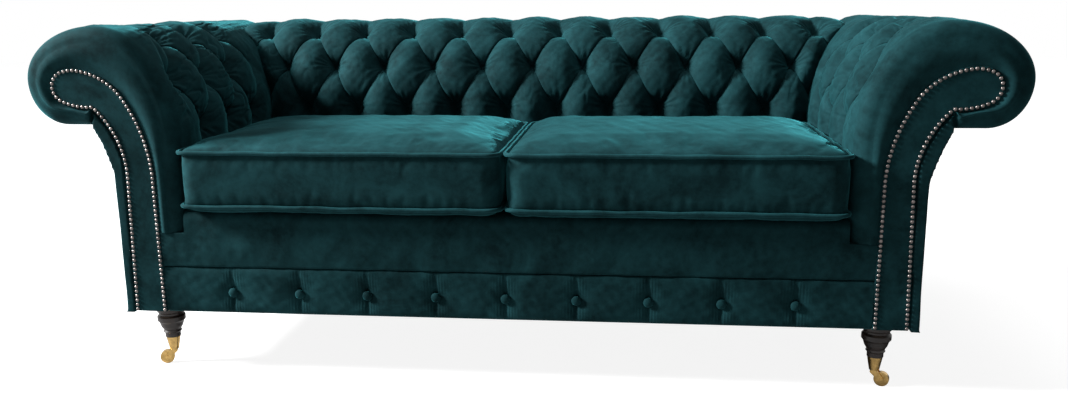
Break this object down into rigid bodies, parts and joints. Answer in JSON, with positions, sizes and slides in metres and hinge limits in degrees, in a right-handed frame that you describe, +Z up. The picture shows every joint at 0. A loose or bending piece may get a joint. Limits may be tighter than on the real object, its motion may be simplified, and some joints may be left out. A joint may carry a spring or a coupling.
{
  "type": "chesterfield sofa",
  "caption": "Chesterfield sofa with scroll arms level with its deep-buttoned back, loose piped cushions, buttoned front border, nail-trimmed facings and turned front legs on castors",
  "frame": {"origin": "on the floor, under the middle of the overall box", "axes": "+X to the sitter's left, which is the viewer's right from the front; +Y to the rear; +Z up"},
  "size_m": [2.2, 0.93, 0.815],
  "materials": {
    "velvet": "deep teal cotton velvet with a short pile",
    "velvet_buttons": "the same velvet over button shells",
    "velvet_cushion": "the same velvet, pile brushed forwards",
    "velvet_piping": "bias strip of the same velvet over cord",
    "foam": "pale upholstery foam with a fibre wrap",
    "nailheads": "antiqued pewter",
    "leg_wood": "dark polished mahogany stain",
    "brass": "satin brass, a little tarnished",
    "webbing": "woven jute",
    "cover_cloth": "black non-woven cloth",
    "spring_steel": "oil-tempered wire",
    "clip_plastic": "moulded clips",
    "frame_wood": "sawn beech and birch plywood"
  },
  "bodies": {
    "sofa_frame": {"arm_buttons_left": "velvet_buttons", "arm_buttons_right": "velvet_buttons", "arm_pad_left": "velvet", "arm_pad_right": "velvet", "arm_rear_post_left": "frame_wood", "arm_rear_post_right": "frame_wood", "arm_scroll_board_left": "frame_wood", "arm_scroll_board_right": "frame_wood", "arm_top_rail_left": "frame_wood", "arm_top_rail_right": "frame_wood", "arm_webbing_left": "webbing", "arm_webbing_right": "webbing", "back_buttons": "velvet_buttons", "back_pad": "velvet", "back_seat_rail": "frame_wood", "back_top_rail": "frame_wood", "back_uprights": "frame_wood", "back_webbing": "webbing", "border_buttons": "velvet_buttons", "castor_cups": "brass", "centre_seat_rail": "frame_wood", "corner_blocks": "frame_wood", "corner_roll_left": "velvet", "corner_roll_right": "velvet", "dust_cover": "cover_cloth", "facing_nails_left": "nailheads", "facing_nails_right": "nailheads", "facing_panel_left": "velvet", "facing_panel_right": "velvet", "front_border": "velvet", "front_legs": "leg_wood", "front_lip": "velvet", "front_seat_rail": "frame_wood", "outside_arm_panel_left": "velvet", "outside_arm_panel_right": "velvet", "outside_back_panel": "velvet", "rear_leg_left": "leg_wood", "rear_leg_right": "leg_wood", "seat_platform": "foam", "seat_springs": "spring_steel", "side_seat_rail_left": "frame_wood", "side_seat_rail_right": "frame_wood", "spring_clips": "clip_plastic"},
    "swivel_left": {"castor_horn_left": "brass", "castor_axle_left": "brass"},
    "wheel_left": {"castor_wheel_left": "brass"},
    "cushion_left": {"seat_cushion_left": "velvet_cushion", "seat_core_left": "foam", "seat_piping_left": "velvet_piping"},
    "swivel_right": {"castor_horn_right": "brass", "castor_axle_right": "brass"},
    "wheel_right": {"castor_wheel_right": "brass"},
    "cushion_right": {"seat_cushion_right": "velvet_cushion", "seat_core_right": "foam", "seat_piping_right": "velvet_piping"}
  },
  "joints": [
    {"name": "castor_swivel_left", "type": "hinge", "parent": "sofa_frame", "child": "swivel_left", "pos_m": [-0.832, -0.365, 0.036], "axis": [0, 0, 1], "continuous": true},
    {"name": "castor_roll_left", "type": "hinge", "parent": "swivel_left", "child": "wheel_left", "pos_m": [-0.84798, -0.37081, 0.0165], "axis": [0.342, -0.9397, 0], "continuous": true},
    {"name": "cushion_lift_left", "type": "slide", "parent": "sofa_frame", "child": "cushion_left", "axis": [0, 0, 1], "range_m": [0, 0.3]},
    {"name": "castor_swivel_right", "type": "hinge", "parent": "sofa_frame", "child": "swivel_right", "pos_m": [0.832, -0.365, 0.036], "axis": [0, 0, 1], "continuous": true},
    {"name": "castor_roll_right", "type": "hinge", "parent": "swivel_right", "child": "wheel_right", "pos_m": [0.84798, -0.37081, 0.0165], "axis": [0.342, 0.9397, 0], "continuous": true},
    {"name": "cushion_lift_right", "type": "slide", "parent": "sofa_frame", "child": "cushion_right", "axis": [0, 0, 1], "range_m": [0, 0.3]}
  ]
}
